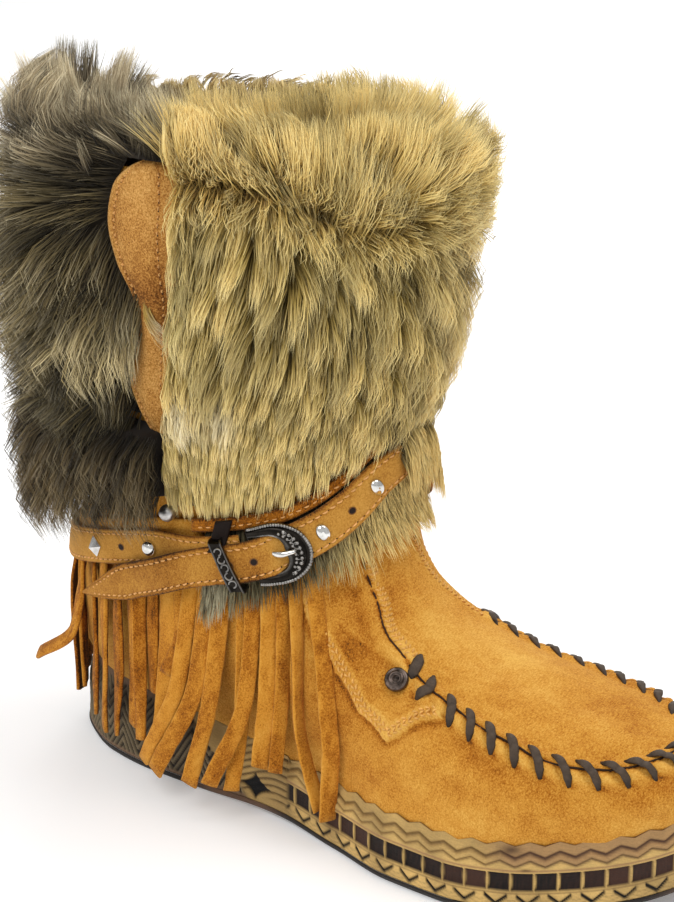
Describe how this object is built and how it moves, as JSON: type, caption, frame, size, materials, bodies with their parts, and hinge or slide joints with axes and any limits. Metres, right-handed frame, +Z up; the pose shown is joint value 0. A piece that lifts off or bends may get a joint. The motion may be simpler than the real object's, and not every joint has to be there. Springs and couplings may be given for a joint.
{
  "type": "fur boot",
  "caption": "Mid-calf suede moccasin boot on a carved wedge sole, with hanging fur round the shaft, a suede fringe, a buckled ankle strap and thong lacing.",
  "frame": {"origin": "on the floor under the heel, 50 mm ahead of the back of the sole and on the middle of the heel", "axes": "+X to the toe, +Y to the inner side of the foot, +Z up"},
  "size_m": [0.2803, 0.1461, 0.248],
  "materials": {
    "outsole_rubber": "matt dark brown-black rubber",
    "carved_sole": "matt cream foam rubber, carved and darkened in the grooves",
    "insole_felt": "soft tan lining",
    "suede": "napped golden-tan suede",
    "strap_suede": "brushed tan suede with light stitching",
    "gold_fur": "long olive-gold fur with dark roots",
    "grey_fur": "long grey-brown fur with pale tips",
    "thong": "flat dark leather thong",
    "dark_silver": "antiqued dark silver with engraved scrolls",
    "bright_silver": "bright nickel",
    "dark_bronze": "dark bronze"
  },
  "bodies": {
    "root": {"outsole": "outsole_rubber", "carved_midsole": "carved_sole", "insole": "insole_felt", "upper": "suede", "ankle_strap": "strap_suede", "buckle_frame": "dark_silver", "buckle_prong": "bright_silver", "strap_keeper": "dark_silver", "oval_stud_1": "bright_silver", "oval_stud_2": "bright_silver", "round_stud": "bright_silver", "pyramid_stud": "bright_silver", "ankle_hem": "suede", "fringe": "suede", "closure_facing": "suede", "front_fur": "gold_fur", "front_collar_fur": "gold_fur", "back_fur": "grey_fur", "back_collar_fur": "grey_fur", "back_hem_fur": "grey_fur", "ankle_fur": "gold_fur", "apron_lace": "thong", "lace_stud_outer": "dark_bronze", "lace_stud_inner": "dark_bronze", "snap_ball": "bright_silver"}
  },
  "joints": []
}
